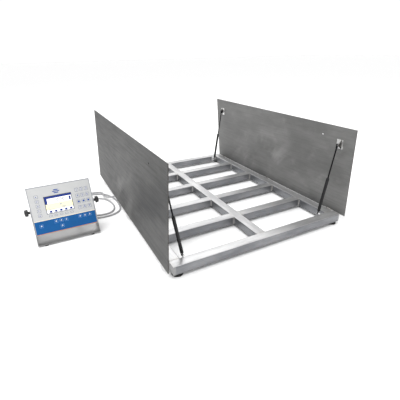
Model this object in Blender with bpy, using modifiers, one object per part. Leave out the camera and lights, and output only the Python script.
"""Low floor scale for pallets and trolleys: a welded tube frame on four load cells, two hinged deck
plates held open by gas springs, and a desk terminal joined to the frame by its cable.

The deck plates stand open. Platform coordinates: X across the platform from its middle, Y from the
front edge of the frame to the back, Z up from the floor. The last step moves everything so that the
world origin is at the bottom centre of the box around the scale and its terminal, without the cable.
"""
import math

import bmesh
import bpy
from mathutils import Matrix, Vector

# --- Driving dimensions, in metres and degrees ---
PLATFORM_X = 1.500
PLATFORM_Y = 2.000
TUBE_W = 0.080
TUBE_H = 0.068
TUBE_WALL = 0.004
TUBE_ROUND = 0.007
FLOOR_GAP = 0.020
GAP = 0.0003
CROSS_ROWS = 4
PAST = 0.01
SINK = 0.001

DECK_THICK = 0.006
DECK_REST_GAP = 0.0005
DECK_OVERHANG_X = 0.006
DECK_OVERHANG_Y = 0.017
DECK_SLOT = 0.060
DECK_OPEN = math.radians(86.6)
LIFT_HOLE_R = 0.007
LIFT_HOLE_FROM_EDGE = 0.090
LIFT_HOLE_Y = 0.300

HINGE_OUT = 0.009
HINGE_DROP = 0.030
HINGE_YS = (0.135, 0.970, 1.865)
HINGE_LENGTH = 0.090
CHEEK_THICK = 0.008
CHEEK_R = 0.027
PIN_R = 0.0040
KNUCKLE_R = 0.0075
KNUCKLE_BORE_R = 0.0043
TAB_THICK = 0.005

SPRING_FROM_END = 0.120
SPRING_FOOT_X = 0.632
SPRING_FOOT_DROP = 0.014
SPRING_REACH = 0.594
SPRING_DROP = 0.0253
EYE_R = 0.009
EYE_THICK = 0.012
STUD_R = 0.0042
STUD_BORE_R = 0.0046
CYLINDER_R = 0.0120
CYLINDER_BORE_R = 0.0100
CYLINDER_WALL_END = 0.006
CYLINDER_START = 0.020
CYLINDER_END = 0.310
ROD_R = 0.0058
ROD_GUIDE_R = 0.0062
ROD_COLLAR_R = 0.0080
PISTON_R = 0.0094
PISTON_AT = 0.285
PISTON_THICK = 0.010
EAR_THICK = 0.006
EAR_FOOT = 0.034
EAR_RIM_R = 0.011
EAR_ASIDE = 0.004
FLANGE_HALF = 0.020
FLANGE_BELOW = 0.040
FLANGE_THICK = 0.005
SHOULDER_R = 0.0075
STUD_HEAD_R = 0.0070
STUD_HEAD = 0.003

FOOT_X = 0.708
FOOT_Y = 0.040
FOOT_PAD_R = 0.040
FOOT_PAD_H = 0.013
FOOT_STEM_R = 0.007
FOOT_COLLAR_R = 0.011
FOOT_SEAT = 0.005
FOOT_HOLE_R = 0.020
CELL_SIZE = 0.032
CELL_LENGTH = 0.150
CELL_TOP = 0.076
CELL_PAST_FOOT = 0.022
CELL_SPACER = 0.060
CELL_WAIST_AT = 0.083
CELL_WAIST_R = 0.012
CELL_BOLT_R = 0.0065
CELL_BOLTS = (0.015, 0.045)

GLAND_Y = 1.400
GLAND_Z = 0.040
GLAND_R = 0.0120
GLAND_HEX_R = 0.0142
GLAND_HEX = 0.009
GLAND_MOUTH_R = 0.0092
GLAND_LENGTH = 0.026
GLAND_STEM_R = 0.0090
GLAND_STEM = 0.0085
BOX_HALF_X = 0.029
BOX_HALF_Y = 0.060
BOX_HEADROOM = 0.012

TERMINAL_AT = (-1.278, 0.825)
TERMINAL_LEAN = math.radians(20.0)
HEAD_W = 0.454
HEAD_H = 0.365
HEAD_FRONT = 0.055
HEAD_BACK = 0.048
HEAD_WALL = 0.002
PANEL_THICK = 0.003
TILT_AXIS_Y = 0.122
TILT_AXIS_Z = 0.247
DISPLAY_W = 0.190
DISPLAY_H = 0.126
DISPLAY_X = -0.023
DISPLAY_Z = 0.032
STAND_DEPTH = 0.190
STAND_SHEET = 0.003
STAND_GAP = 0.0025
STAND_ARM_R = 0.026
STAND_EDGE = 0.001
STAND_FOOT_R = 0.013
STAND_FOOT_H = 0.012
STAND_FOOT_X = 0.172
STAND_FOOT_IN = 0.012
KNOB_R = 0.024
KNOB_LOBE = 0.004
KNOB_THICK = 0.026
KNOB_BOSS = 0.014
KNOB_SCREW_R = 0.0040
KNOB_BOSS_R = 0.011
KNOB_SCREW_IN = 0.008
KNOB_LOBES = 5
HEAD_GLAND_X = 0.120
HEAD_GLAND_LENGTH = 0.028
HEAD_GLAND_STEM = 0.006
BOARD_THICK = 0.0016
BOARD_CORNERS = ((-0.150, -0.100), (0.080, 0.100))
SUPPLY_CORNERS = ((-0.120, -0.060), (-0.060, -0.020))
SUPPLY_HEIGHT = 0.012
SOCKET_CORNERS = ((-0.020, 0.020), (0.040, 0.070))
SOCKET_HEIGHT = 0.008

CABLE_R = 0.0072
CABLE_POINTS = 80
CABLE_STRAIGHT = 0.015
CABLE_END_GAP = 0.001
# From the terminal's gland to the frame's: down to the floor, round the inner turn, then twice round
# the outer one, crossing over what already lies there, and under the open deck plate to the frame.
CABLE_ROUTE = (
    (-1.1600, 1.0780, 0.1880), (-1.1660, 1.1080, 0.1420), (-1.1720, 1.1290, 0.0900),
    (-1.1770, 1.1540, 0.0440), (-1.1790, 1.2000, 0.0170), (-1.1700, 1.2650, 0.0084),
    (-1.1450, 1.3600, 0.0082), (-1.0800, 1.4650, 0.0082), (-0.9750, 1.5150, 0.0082),
    (-0.8760, 1.4560, 0.0082), (-0.8330, 1.3200, 0.0082), (-0.8430, 1.1980, 0.0082),
    (-0.9000, 1.1320, 0.0082), (-0.9900, 1.1300, 0.0082), (-1.0800, 1.1700, 0.0084),
    (-1.1420, 1.2140, 0.0160), (-1.1830, 1.2560, 0.0270), (-1.2110, 1.3150, 0.0140),
    (-1.2120, 1.4300, 0.0082), (-1.1400, 1.5650, 0.0082), (-0.9950, 1.6300, 0.0082),
    (-0.8700, 1.5900, 0.0082), (-0.8000, 1.4700, 0.0082), (-0.7790, 1.3100, 0.0082),
    (-0.8000, 1.1550, 0.0082), (-0.8750, 1.0860, 0.0083), (-0.9900, 1.0780, 0.0086),
    (-1.0950, 1.1180, 0.0160), (-1.1790, 1.2020, 0.0480), (-1.2350, 1.2950, 0.0180),
    (-1.2420, 1.4300, 0.0082), (-1.1600, 1.5950, 0.0082), (-1.0000, 1.6680, 0.0084),
    (-0.9050, 1.6420, 0.0150), (-0.8720, 1.5900, 0.0250), (-0.8700, 1.5300, 0.0250),
    (-0.8650, 1.4650, 0.0300), (-0.8380, 1.4160, 0.0365),
)

TUBE_LOW = FLOOR_GAP
TUBE_TOP = FLOOR_GAP + TUBE_H
HALF_X = PLATFORM_X / 2
BAY_CLEAR = (PLATFORM_Y - (CROSS_ROWS + 2) * TUBE_W) / (CROSS_ROWS + 1)
HINGE_X = HALF_X + HINGE_OUT
HINGE_Z = TUBE_TOP - HINGE_DROP
SPRING_FOOT_Z = TUBE_TOP - SPRING_FOOT_DROP
DECK_UNDER = HINGE_DROP + DECK_REST_GAP
DECK_NEAR = HINGE_OUT - DECK_OVERHANG_X
DECK_FAR = HINGE_X - DECK_SLOT / 2
SIDES = (("left", -1), ("right", 1))
ENDS = (("front", 0), ("back", 1))
ROUND = 24

for old in list(bpy.data.objects):
    bpy.data.objects.remove(old, do_unlink=True)

parts = bpy.data.collections.new("platform_scale")
cutters = bpy.data.collections.new("cutters")
for collection in (parts, cutters):
    bpy.context.scene.collection.children.link(collection)


def finish(name, colour, roughness, metallic):
    """A plain material with the piece's own colour."""
    made = bpy.data.materials.new(name)
    made.use_nodes = True
    shader = made.node_tree.nodes["Principled BSDF"]
    shader.inputs["Base Color"].default_value = (*colour, 1.0)
    shader.inputs["Roughness"].default_value = roughness
    shader.inputs["Metallic"].default_value = metallic
    return made


STEEL = finish("blasted_stainless", (0.52, 0.52, 0.51), 0.42, 1.0)
DECK = finish("rolled_stainless_plate", (0.20, 0.20, 0.20), 0.45, 1.0)
PLATED = finish("plated_steel", (0.62, 0.61, 0.58), 0.30, 1.0)
BLACK_STEEL = finish("black_lacquered_steel", (0.012, 0.012, 0.013), 0.35, 0.2)
RUBBER = finish("black_rubber", (0.010, 0.010, 0.010), 0.80, 0.0)
BLACK_PLASTIC = finish("black_plastic", (0.012, 0.012, 0.013), 0.45, 0.0)
GREY_FOIL = finish("grey_membrane", (0.62, 0.63, 0.64), 0.50, 0.0)
GLASS = finish("display_window", (0.75, 0.78, 0.60), 0.15, 0.0)
GREY_PLASTIC = finish("grey_plastic", (0.30, 0.31, 0.32), 0.50, 0.0)
BOARD = finish("circuit_board", (0.02, 0.16, 0.06), 0.45, 0.0)
CABLE = finish("grey_cable_sheath", (0.50, 0.50, 0.50), 0.50, 0.0)


def put(name, mesh, material=None, parent=None, location=(0, 0, 0), rotation=(0, 0, 0)):
    """A sub-part from its mesh. Without a material it is a cutter or a piece to be welded on."""
    piece = bpy.data.objects.new(name, mesh)
    if material:
        parts.objects.link(piece)
        mesh.materials.append(material)
    else:
        cutters.objects.link(piece)
        piece.hide_render = True
        piece.display_type = "WIRE"
    piece.parent = parent
    piece.location = location
    piece.rotation_euler = rotation
    return piece


def hub(name, location, rotation=(0, 0, 0), parent=None):
    """An empty on a joint's axis, which carries the pieces that turn with it."""
    empty = bpy.data.objects.new(name, None)
    parts.objects.link(empty)
    empty.parent = parent
    empty.location = location
    empty.rotation_euler = rotation
    return empty


def box(low, high, rounded=0.0, along=None, segments=2):
    """A box between two corners, given in any order, with the edges along one axis rounded."""
    bm = bmesh.new()
    bmesh.ops.create_cube(bm, size=1.0)
    near = Vector([min(a, b) for a, b in zip(low, high)])
    far = Vector([max(a, b) for a, b in zip(low, high)])
    for vert in bm.verts:
        vert.co = [n + (c + 0.5) * (f - n) for n, c, f in zip(near, vert.co, far)]
    if rounded:
        axis = Vector([along == "X", along == "Y", along == "Z"])
        edges = [e for e in bm.edges if abs((e.verts[1].co - e.verts[0].co).normalized().dot(axis)) > 0.99]
        bmesh.ops.bevel(
            bm, geom=edges, offset=rounded, segments=segments, profile=0.5, affect="EDGES"
        )
    return to_mesh(bm)


def to_mesh(bm, smooth=False):
    """The finished mesh of a bmesh, which is freed."""
    mesh = bpy.data.meshes.new("mesh")
    bmesh.ops.recalc_face_normals(bm, faces=bm.faces)
    bm.to_mesh(mesh)
    bm.free()
    if smooth:
        mesh.shade_smooth()
        mesh.set_sharp_from_angle(angle=math.radians(35))
    return mesh


def rod(radius, start, end, axis="Z", segments=ROUND):
    """A round bar along an axis through the local origin, between two distances on it."""
    turn = {"X": Matrix.Rotation(math.pi / 2, 4, "Y"), "Y": Matrix.Rotation(-math.pi / 2, 4, "X")}
    bm = bmesh.new()
    bmesh.ops.create_cone(
        bm, cap_ends=True, segments=segments, radius1=radius, radius2=radius, depth=abs(end - start)
    )
    bmesh.ops.translate(bm, verts=bm.verts, vec=(0, 0, (start + end) / 2))
    bmesh.ops.transform(bm, matrix=turn.get(axis, Matrix.Identity(4)), verts=bm.verts)
    return to_mesh(bm, smooth=True)


def outline(points, low, high, plane="XZ"):
    """A flat outline of 2D points, made as a filled curve and as thick as the two limits say."""
    curve = bpy.data.curves.new("outline", "CURVE")
    curve.dimensions = "2D"
    curve.fill_mode = "BOTH"
    curve.extrude = abs(high - low) / 2
    spline = curve.splines.new("POLY")
    spline.points.add(len(points) - 1)
    for point, (across, up) in zip(spline.points, points):
        point.co = (across, up, 0, 1)
    spline.use_cyclic_u = True
    mesh = from_curve(curve)
    middle = (low + high) / 2
    stand = {
        "XZ": Matrix(((1, 0, 0, 0), (0, 0, -1, middle), (0, 1, 0, 0), (0, 0, 0, 1))),
        "YZ": Matrix(((0, 0, 1, middle), (1, 0, 0, 0), (0, 1, 0, 0), (0, 0, 0, 1))),
    }
    mesh.transform(stand[plane])
    return mesh


def from_curve(curve):
    """The curve's mesh with its caps welded on, and the curve removed."""
    holder = bpy.data.objects.new("curve_holder", curve)
    cutters.objects.link(holder)
    bpy.context.view_layer.update()
    seen = holder.evaluated_get(bpy.context.evaluated_depsgraph_get())
    mesh = bpy.data.meshes.new_from_object(seen)
    bpy.data.objects.remove(holder, do_unlink=True)
    bm = bmesh.new()
    bm.from_mesh(mesh)
    bmesh.ops.remove_doubles(bm, verts=bm.verts, dist=0.00002)
    bmesh.ops.recalc_face_normals(bm, faces=bm.faces)
    bm.to_mesh(mesh)
    bm.free()
    return mesh


def turned(profile, steps=ROUND):
    """A mesh turned about local Z from (radius, height) points that run down the outer side."""
    mesh = bpy.data.meshes.new("profile")
    points = [(radius, 0, height) for radius, height in profile]
    mesh.from_pydata(points, [(i, i + 1) for i in range(len(points) - 1)], [])
    holder = bpy.data.objects.new("profile_holder", mesh)
    cutters.objects.link(holder)
    screw = holder.modifiers.new("turn", "SCREW")
    screw.axis = "Z"
    screw.steps = steps
    screw.render_steps = steps
    screw.use_merge_vertices = True
    screw.merge_threshold = 0.00001
    bpy.context.view_layer.update()
    seen = holder.evaluated_get(bpy.context.evaluated_depsgraph_get())
    made = bpy.data.meshes.new_from_object(seen)
    bpy.data.objects.remove(holder, do_unlink=True)
    made.shade_smooth()
    made.set_sharp_from_angle(angle=math.radians(35))
    return made


def change(piece, tools, operation):
    """Cut the tools from a piece, or weld them on. The tools take the piece's own placing."""
    for tool in tools:
        made = put(f"{piece.name}_{operation.lower()}_{len(piece.modifiers)}", tool)
        made.parent = piece.parent
        made.location = piece.location
        made.rotation_euler = piece.rotation_euler
        step = piece.modifiers.new(made.name, "BOOLEAN")
        step.operation = operation
        step.solver = "EXACT"
        step.object = made


def cut(piece, *tools):
    change(piece, tools, "DIFFERENCE")


def weld(piece, *tools):
    change(piece, tools, "UNION")


def tube(name, low, high, along, parent):
    """A rectangular hollow section, open at both ends, with its outer faces between two corners."""
    grow = Vector([PAST * (along == axis) for axis in "XYZ"])
    inset = Vector([TUBE_WALL * (along != axis) for axis in "XYZ"])
    piece = put(name, box(low, high, TUBE_ROUND, along), STEEL, parent)
    inner = box(
        Vector(low) - grow + inset, Vector(high) + grow - inset, TUBE_ROUND - TUBE_WALL, along
    )
    cut(piece, inner)
    return piece


def moved(mesh, offset):
    """The same mesh, moved."""
    mesh.transform(Matrix.Translation(offset))
    return mesh


base = hub("scale_origin", (0, 0, 0))


# --- Frame: end rails closed at their ends, three long rails, and four rows of cross tubes ---
def end_rail(name, near_y):
    """A full-width rail with welded end caps, and a hole below each load cell for its foot."""
    low = (-HALF_X, near_y, TUBE_LOW)
    high = (HALF_X, near_y + TUBE_W, TUBE_TOP)
    piece = put(name, box(low, high, TUBE_ROUND, "X"), STEEL, base)
    wall = Vector((TUBE_WALL, TUBE_WALL, TUBE_WALL))
    hollow = box(Vector(low) + wall, Vector(high) - wall, TUBE_ROUND - TUBE_WALL, "X")
    middle = near_y + TUBE_W / 2
    holes = [
        moved(rod(FOOT_HOLE_R, TUBE_LOW - PAST, TUBE_LOW + PAST), (side * FOOT_X, middle, 0))
        for _, side in SIDES
    ]
    cut(piece, hollow, *holes)


end_rail("front_rail", 0.0)
end_rail("back_rail", PLATFORM_Y - TUBE_W)

rail_ends = (TUBE_W + GAP, PLATFORM_Y - TUBE_W - GAP)
for label, middle_x in (("left", TUBE_W / 2 - HALF_X), ("centre", 0.0), ("right", HALF_X - TUBE_W / 2)):
    rail = tube(
        f"{label}_rail",
        (middle_x - TUBE_W / 2, rail_ends[0], TUBE_LOW),
        (middle_x + TUBE_W / 2, rail_ends[1], TUBE_TOP),
        "Y",
        base,
    )
    if label == "left":
        entry = rod(GLAND_STEM_R + GAP, -HALF_X - PAST, -HALF_X + PAST, "X")
        cut(rail, moved(entry, (0, GLAND_Y, GLAND_Z)))

for row in range(1, CROSS_ROWS + 1):
    near_y = row * (BAY_CLEAR + TUBE_W)
    for label, side in SIDES:
        inner_x = side * (TUBE_W / 2 + GAP)
        outer_x = side * (HALF_X - TUBE_W - GAP)
        tube(
            f"cross_tube_{label}_{row}",
            (min(inner_x, outer_x), near_y, TUBE_LOW),
            (max(inner_x, outer_x), near_y + TUBE_W, TUBE_TOP),
            "X",
            base,
        )


# --- Load cells inside the end rails, each on a levelling foot ---
def load_cell(name, side, middle_y):
    """A shear beam: bolted up to the rail through its spacer, waisted, with a socket for the foot."""
    outer = FOOT_X + CELL_PAST_FOOT
    inner = outer - CELL_LENGTH
    half = CELL_SIZE / 2
    low = (side * inner, middle_y - half, CELL_TOP - CELL_SIZE)
    high = (side * outer, middle_y + half, CELL_TOP)
    beam = put(name, box(low, high, 0.002, "X", 1), PLATED, base)
    spacer_top = TUBE_TOP - TUBE_WALL - GAP
    weld(
        beam,
        box(
            (side * inner, middle_y - half, CELL_TOP - SINK),
            (side * (inner + CELL_SPACER), middle_y + half, spacer_top),
        ),
    )
    waist_x = side * (inner + CELL_WAIST_AT)
    socket = rod(FOOT_STEM_R + GAP, CELL_TOP - CELL_SIZE - PAST, CELL_TOP - 0.008)
    waists = [
        moved(
            rod(CELL_WAIST_R, face * (half - PAST), face * (half + PAST), "Y"),
            (waist_x, middle_y, CELL_TOP - half),
        )
        for face in (-1, 1)
    ]
    bolts = [
        moved(
            rod(CELL_BOLT_R, CELL_TOP - CELL_SIZE - PAST, spacer_top + PAST),
            (side * (inner + at), middle_y, 0),
        )
        for at in CELL_BOLTS
    ]
    cut(beam, moved(socket, (side * FOOT_X, middle_y, 0)), *waists, *bolts)


def foot(label, side, middle_y):
    """A turned steel stem standing in a rubber-soled pad."""
    axis = hub(f"foot_{label}_axis", (side * FOOT_X, middle_y, 0), parent=base)
    seat = FOOT_PAD_H - FOOT_SEAT
    stem = turned(
        [
            (0, CELL_TOP - 0.010),
            (FOOT_STEM_R, CELL_TOP - 0.010),
            (FOOT_STEM_R, FOOT_PAD_H + 0.006),
            (FOOT_COLLAR_R, FOOT_PAD_H + 0.006),
            (FOOT_COLLAR_R, seat),
            (0, seat),
        ]
    )
    put(f"foot_stem_{label}", stem, PLATED, axis)
    sole = turned(
        [
            (0, seat - GAP),
            (FOOT_COLLAR_R + GAP, seat - GAP),
            (FOOT_COLLAR_R + GAP, FOOT_PAD_H),
            (FOOT_PAD_R - 0.008, FOOT_PAD_H),
            (FOOT_PAD_R, FOOT_PAD_H - 0.006),
            (FOOT_PAD_R, 0.002),
            (FOOT_PAD_R - 0.002, 0),
            (0, 0),
        ]
    )
    put(f"foot_pad_{label}", sole, RUBBER, axis)


for end_label, at_back in ENDS:
    for side_label, side in SIDES:
        corner_y = PLATFORM_Y - FOOT_Y if at_back else FOOT_Y
        load_cell(f"load_cell_{end_label}_{side_label}", side, corner_y)
        foot(f"{end_label}_{side_label}", side, corner_y)


# --- Hinges: two D-shaped cheeks and a pin on the frame, a knuckle and tab on the deck plate ---
def hinge_lug(name, side, middle_y):
    """Two cheeks welded to the rail's side, joined by their pin."""
    flat = HINGE_OUT - GAP
    reach = math.acos(flat / CHEEK_R)
    turn = math.pi - reach
    steps = 16
    arc = [(-turn + 2 * turn * i / steps) for i in range(steps + 1)]
    ring = [(side * CHEEK_R * math.cos(a), CHEEK_R * math.sin(a)) for a in arc]
    half = HINGE_LENGTH / 2
    lug = put(
        name, outline(ring, -half, -half + CHEEK_THICK), STEEL, base, (side * HINGE_X, middle_y, HINGE_Z)
    )
    weld(lug, outline(ring, half - CHEEK_THICK, half), rod(PIN_R, 0.002 - half, half - 0.002, "Y"))


def deck_plate(name, side, pivot):
    """A thick plate with a lifting hole, three hinge tabs with knuckles, and two spring ears.

    Local coordinates are those of the closed plate: the pivot at the origin, the plate reaching
    inwards and lying above it.
    """
    inwards = -side
    plate = put(
        name,
        box(
            (inwards * DECK_NEAR, -DECK_OVERHANG_Y, DECK_UNDER),
            (inwards * DECK_FAR, PLATFORM_Y + DECK_OVERHANG_Y, DECK_UNDER + DECK_THICK),
        ),
        DECK,
        pivot,
    )
    half = HINGE_LENGTH / 2 - CHEEK_THICK - 0.0005
    for middle_y in HINGE_YS:
        tab = box(
            (inwards * DECK_NEAR, middle_y - half, 0),
            (inwards * (DECK_NEAR + TAB_THICK), middle_y + half, DECK_UNDER + SINK),
        )
        knuckle = rod(KNUCKLE_R, middle_y - half, middle_y + half, "Y")
        weld(plate, tab, knuckle)
    for middle_y in HINGE_YS:
        cut(plate, rod(KNUCKLE_BORE_R, middle_y - half - PAST, middle_y + half + PAST, "Y"))
    hole = rod(LIFT_HOLE_R, DECK_UNDER - PAST, DECK_UNDER + DECK_THICK + PAST)
    cut(plate, moved(hole, (inwards * (DECK_FAR - LIFT_HOLE_FROM_EDGE), LIFT_HOLE_Y, 0)))
    ear_z = DECK_UNDER - SPRING_DROP
    for _, at_back in ENDS:
        outward = 1 if at_back else -1
        eye_y = PLATFORM_Y - SPRING_FROM_END if at_back else SPRING_FROM_END
        ear_y = eye_y + outward * (EYE_THICK / 2 + EAR_ASIDE)
        ear_far = ear_y + outward * EAR_THICK
        ear_x = inwards * SPRING_REACH
        rim = [
            (ear_x + EAR_RIM_R * math.cos(angle), ear_z + EAR_RIM_R * math.sin(angle))
            for angle in [math.pi + math.pi * i / 10 for i in range(11)]
        ]
        wide = [(ear_x + EAR_FOOT, DECK_UNDER + SINK), (ear_x - EAR_FOOT, DECK_UNDER + SINK)]
        ear = outline(rim + wide, ear_y, ear_far)
        stub = rod(STUD_R, ear_y + outward * 0.002, ear_y - outward * 0.0025, "Y")
        weld(plate, ear, moved(stub, (ear_x, 0, ear_z)))


# --- Gas springs: a hollow cylinder on a stud of the end rail, and a rod that slides in it ---
def spring_stud(name, side, at_back):
    """A flange on the end rail's inner face with the stud that carries the spring's lower eye."""
    outward = -1 if at_back else 1
    face_y = PLATFORM_Y - TUBE_W if at_back else TUBE_W
    eye_y = PLATFORM_Y - SPRING_FROM_END if at_back else SPRING_FROM_END
    half = EYE_THICK / 2
    start = face_y + outward * GAP
    flange = box(
        (side * SPRING_FOOT_X - FLANGE_HALF, start, SPRING_FOOT_Z - FLANGE_BELOW),
        (side * SPRING_FOOT_X + FLANGE_HALF, start + outward * FLANGE_THICK, TUBE_TOP - 0.003),
        0.006,
        "Y",
    )
    stud = put(name, flange, STEEL, base)
    place = (side * SPRING_FOOT_X, 0, SPRING_FOOT_Z)
    near = eye_y - outward * (half + 0.0005)
    far = eye_y + outward * (half + 0.0005)
    shoulder = rod(SHOULDER_R, start + outward * 0.002, near, "Y")
    neck = rod(STUD_R, start + outward * 0.003, far + outward * STUD_HEAD / 2, "Y")
    head = rod(STUD_HEAD_R, far, far + outward * STUD_HEAD, "Y")
    weld(stud, moved(shoulder, place), moved(neck, place), moved(head, place))


def gas_spring(label, side, at_back):
    """The cylinder turns on its stud, and the rod's head lies beside the deck plate's ear."""
    eye_y = PLATFORM_Y - SPRING_FROM_END if at_back else SPRING_FROM_END
    head = Vector((-side * SPRING_REACH, DECK_UNDER - SPRING_DROP))
    opened = Matrix.Rotation(-side * DECK_OPEN, 2) @ head
    top = Vector((side * HINGE_X, HINGE_Z)) + opened
    foot_at = Vector((side * SPRING_FOOT_X, SPRING_FOOT_Z))
    run = top - foot_at
    lean = math.atan2(run.x, run.y)
    length = run.length
    axis = hub(f"spring_{label}_axis", (foot_at.x, eye_y, foot_at.y), (0, lean, 0), base)
    tube_profile = [
        (0, CYLINDER_START + CYLINDER_WALL_END),
        (CYLINDER_BORE_R, CYLINDER_START + CYLINDER_WALL_END),
        (CYLINDER_BORE_R, CYLINDER_END - CYLINDER_WALL_END),
        (ROD_GUIDE_R, CYLINDER_END - CYLINDER_WALL_END),
        (ROD_GUIDE_R, CYLINDER_END),
        (CYLINDER_R - 0.001, CYLINDER_END),
        (CYLINDER_R, CYLINDER_END - 0.002),
        (CYLINDER_R, CYLINDER_START),
        (0.005, CYLINDER_START - 0.004),
        (0.005, 0.004),
        (0, 0.004),
    ]
    cylinder = put(f"spring_cylinder_{label}", turned(tube_profile), BLACK_STEEL, axis)
    weld(cylinder, rod(EYE_R, -EYE_THICK / 2, EYE_THICK / 2, "Y"))
    cut(cylinder, rod(STUD_BORE_R, -EYE_THICK, EYE_THICK, "Y"))
    rod_profile = [
        (0, length - 0.004),
        (ROD_R, length - 0.004),
        (ROD_R, PISTON_AT + PISTON_THICK),
        (PISTON_R, PISTON_AT + PISTON_THICK),
        (PISTON_R, PISTON_AT),
        (0, PISTON_AT),
    ]
    piston_rod = put(f"spring_rod_{label}", turned(rod_profile), BLACK_STEEL, axis)
    collar = rod(ROD_COLLAR_R, length - 0.026, length - 0.006)
    eye = moved(rod(EYE_R, -EYE_THICK / 2, EYE_THICK / 2, "Y"), (0, 0, length))
    weld(piston_rod, collar, eye)


for side_label, side in SIDES:
    for number, middle_y in enumerate(HINGE_YS, 1):
        hinge_lug(f"hinge_lug_{side_label}_{number}", side, middle_y)
    pivot = hub(f"deck_{side_label}_axis", (side * HINGE_X, 0, HINGE_Z), (0, side * DECK_OPEN, 0), base)
    deck_plate(f"deck_plate_{side_label}", side, pivot)
    for end_label, at_back in ENDS:
        spring_stud(f"spring_stud_{end_label}_{side_label}", side, at_back)
        gas_spring(f"{end_label}_{side_label}", side, at_back)


# --- Junction box in the left rail, and the gland where the cable enters ---
box_x = TUBE_W / 2 - HALF_X
put(
    "junction_box",
    box(
        (box_x - BOX_HALF_X, GLAND_Y - BOX_HALF_Y, TUBE_LOW + TUBE_WALL + GAP),
        (box_x + BOX_HALF_X, GLAND_Y + BOX_HALF_Y, TUBE_TOP - TUBE_WALL - BOX_HEADROOM),
        0.004,
        "Z",
    ),
    GREY_PLASTIC,
    base,
)


def gland(name, length, stem, parent, location, rotation):
    """A hexagon, a dome nut and a threaded stem, turned about local Z, which points outwards.

    It is closed where the cable goes in, so that the cable ends against it.
    """
    nut = rod(GLAND_HEX_R, 0, GLAND_HEX, segments=6)
    hexagon = put(name, nut, GREY_PLASTIC, parent, location, rotation)
    dome = turned(
        [
            (0, length),
            (GLAND_MOUTH_R, length),
            (GLAND_R - 0.0005, length - 0.006),
            (GLAND_R, GLAND_HEX - SINK),
            (0, GLAND_HEX - SINK),
        ]
    )
    weld(hexagon, dome, rod(GLAND_STEM_R, -stem, SINK))


gland(
    "frame_gland",
    GLAND_LENGTH,
    GLAND_STEM,
    base,
    (-HALF_X - GAP, GLAND_Y, GLAND_Z),
    (0, -math.pi / 2, 0),
)


# --- Terminal: a bent stand, and a head that tilts in it between two clamping knobs ---
desk = hub("terminal_origin", (*TERMINAL_AT, 0), parent=base)
head = hub("terminal_tilt_axis", (0, TILT_AXIS_Y, TILT_AXIS_Z), (-TERMINAL_LEAN, 0, 0), desk)

arm_in = HEAD_W / 2 + STAND_GAP
arm_out = arm_in + STAND_SHEET
base_out = arm_out + STAND_EDGE
stand = put(
    "terminal_stand",
    box((-base_out, 0, STAND_FOOT_H), (base_out, STAND_DEPTH, STAND_FOOT_H + STAND_SHEET)),
    STEEL,
    desk,
)
crown = [
    (TILT_AXIS_Y + STAND_ARM_R * math.cos(a), TILT_AXIS_Z + STAND_ARM_R * math.sin(a))
    for a in [math.pi * i / 12 for i in range(13)]
]
arm_foot = [(0.002, STAND_FOOT_H + SINK), (STAND_DEPTH - 0.002, STAND_FOOT_H + SINK)]
for _, side in SIDES:
    arm = outline(crown + arm_foot, side * arm_in, side * arm_out, "YZ")
    weld(stand, arm)
screw_way = rod(KNOB_SCREW_R + 0.0005, -arm_out - PAST, arm_out + PAST, "X")
cut(stand, moved(screw_way, (0, TILT_AXIS_Y, TILT_AXIS_Z)))

for side_label, side in SIDES:
    for end_label, foot_y in (("front", STAND_FOOT_IN), ("back", STAND_DEPTH - STAND_FOOT_IN)):
        sole = turned(
            [(0, STAND_FOOT_H - GAP), (STAND_FOOT_R - 0.001, STAND_FOOT_H - GAP), (STAND_FOOT_R, 0), (0, 0)],
            16,
        )
        put(f"stand_foot_{end_label}_{side_label}", sole, RUBBER, desk, (side * STAND_FOOT_X, foot_y, 0))

half_w = HEAD_W / 2
half_h = HEAD_H / 2
panel_back = PANEL_THICK - HEAD_FRONT
housing = put(
    "terminal_housing",
    box((-half_w, panel_back + GAP, -half_h), (half_w, HEAD_BACK, half_h), 0.003, "Y"),
    STEEL,
    head,
)
cut(
    housing,
    box(
        (-half_w + HEAD_WALL, panel_back - PAST, -half_h + HEAD_WALL),
        (half_w - HEAD_WALL, HEAD_BACK - HEAD_WALL, half_h - HEAD_WALL),
    ),
    rod(KNOB_SCREW_R + GAP, -half_w - PAST, -half_w + PAST, "X"),
    rod(KNOB_SCREW_R + GAP, half_w - PAST, half_w + PAST, "X"),
    moved(rod(GLAND_STEM_R + GAP, HEAD_BACK - PAST, HEAD_BACK + PAST, "Y"), (HEAD_GLAND_X, 0, 0)),
)

window = [DISPLAY_X - DISPLAY_W / 2, DISPLAY_X + DISPLAY_W / 2]
sill = [DISPLAY_Z - DISPLAY_H / 2, DISPLAY_Z + DISPLAY_H / 2]
panel = put(
    "terminal_panel",
    box((-half_w, -HEAD_FRONT, -half_h), (half_w, panel_back, half_h), 0.003, "Y"),
    GREY_FOIL,
    head,
)
cut(panel, box((window[0], -HEAD_FRONT - PAST, sill[0]), (window[1], panel_back + PAST, sill[1])))
put(
    "terminal_display",
    box(
        (window[0] + GAP, -HEAD_FRONT + 0.0004, sill[0] + GAP),
        (window[1] - GAP, panel_back + 0.004, sill[1] - GAP),
    ),
    GLASS,
    head,
)


def on_board(corners, front, back):
    """A block whose X and Z corners are given, between two depths in the housing."""
    (low_x, low_z), (high_x, high_z) = corners
    return box((low_x, front, low_z), (high_x, back, high_z))


board = put("main_board", on_board(BOARD_CORNERS, 0, BOARD_THICK), BOARD, head)
weld(
    board,
    on_board(SUPPLY_CORNERS, -SUPPLY_HEIGHT, SINK),
    on_board(SOCKET_CORNERS, -SOCKET_HEIGHT, SINK),
)


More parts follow.
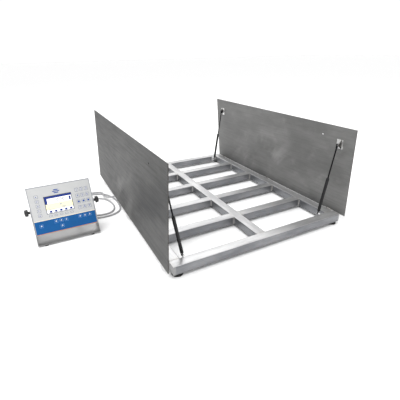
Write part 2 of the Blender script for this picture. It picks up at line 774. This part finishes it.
def knob(name, side):
    """A lobed clamping knob with its screw, which goes through the stand's arm into the housing."""
    rim = [
        (radius * math.cos(angle), radius * math.sin(angle))
        for angle in [2 * math.pi * i / 40 for i in range(40)]
        for radius in [KNOB_R + KNOB_LOBE * math.cos(KNOB_LOBES * angle)]
    ]
    face = arm_out + KNOB_BOSS
    inner, outer = side * face, side * (face + KNOB_THICK)
    grip = put(name, outline(rim, inner, outer, "YZ"), BLACK_PLASTIC, head)
    boss = rod(KNOB_BOSS_R, side * (arm_out + GAP), side * (face + SINK), "X")
    screw = rod(KNOB_SCREW_R, side * (half_w - KNOB_SCREW_IN), side * (face - SINK), "X")
    weld(grip, boss, screw)


for side_label, side in SIDES:
    knob(f"clamp_knob_{side_label}", side)
gland(
    "terminal_gland",
    HEAD_GLAND_LENGTH,
    HEAD_GLAND_STEM,
    head,
    (HEAD_GLAND_X, HEAD_BACK + GAP, 0),
    (-math.pi / 2, 0, 0),
)


# --- Cable ---
def smooth_line(knots, count):
    """Evenly spaced points on a smooth curve from the second knot to the last but one."""
    fine = []
    for a, b, c, d in zip(knots, knots[1:], knots[2:], knots[3:]):
        for t in [step / 40 for step in range(40)]:
            bend = (2 * a - 5 * b + 4 * c - d) * t**2 + (3 * b - 3 * c + d - a) * t**3
            fine.append(0.5 * (2 * b + (c - a) * t + bend))
    fine.append(knots[-2])
    travelled = [0.0]
    for a, b in zip(fine, fine[1:]):
        travelled.append(travelled[-1] + (b - a).length)
    line = []
    index = 0
    for wanted in [travelled[-1] * i / (count - 1) for i in range(count)]:
        while index < len(fine) - 2 and travelled[index + 1] < wanted:
            index += 1
        share = (wanted - travelled[index]) / (travelled[index + 1] - travelled[index])
        line.append(fine[index].lerp(fine[index + 1], min(share, 1.0)))
    return line


def lead_knot(bend, near, away):
    """A knot that makes the curve leave a gland's bend point straight along the gland's axis."""
    return near - 2 * (near - bend).length * away.normalized()


# The cable is straight for a little way at each gland, where the clamp holds it.
bpy.context.view_layer.update()
exit_reach = HEAD_BACK + GAP + HEAD_GLAND_LENGTH + CABLE_END_GAP
head_end = head.matrix_world @ Vector((HEAD_GLAND_X, exit_reach, 0))
head_out = head.matrix_world.to_3x3() @ Vector((0, CABLE_STRAIGHT, 0))
frame_end = Vector((-HALF_X - GAP - GLAND_LENGTH - CABLE_END_GAP, GLAND_Y, GLAND_Z))
frame_out = Vector((-CABLE_STRAIGHT, 0, 0))
knots = [head_end + head_out, *map(Vector, CABLE_ROUTE), frame_end + frame_out]
knots = [
    lead_knot(knots[0], knots[1], head_out),
    *knots,
    lead_knot(knots[-1], knots[-2], frame_out),
]
places = [head_end, *smooth_line(knots, CABLE_POINTS - 2), frame_end]

cable = bpy.data.curves.new("cable", "CURVE")
cable.dimensions = "3D"
cable.bevel_depth = CABLE_R
cable.bevel_resolution = 2
cable.use_fill_caps = True
lead = cable.splines.new("POLY")
lead.points.add(len(places) - 1)
for point, place in zip(lead.points, places):
    point.co = (*place, 1)
cable.materials.append(CABLE)
cable_piece = bpy.data.objects.new("cable", cable)
parts.objects.link(cable_piece)
cable_piece.parent = base


# --- Origin: bottom centre of the box around everything but the cable ---
bpy.context.view_layer.update()
seen = bpy.context.evaluated_depsgraph_get()
corners = []
for piece in parts.objects:
    if piece.type == "MESH":
        solid = piece.evaluated_get(seen)
        corners += [piece.matrix_world @ vert.co for vert in solid.data.vertices]
middle_x = (min(c.x for c in corners) + max(c.x for c in corners)) / 2
middle_y = (min(c.y for c in corners) + max(c.y for c in corners)) / 2
base.location = (-middle_x, -middle_y, 0)
bpy.context.view_layer.update()
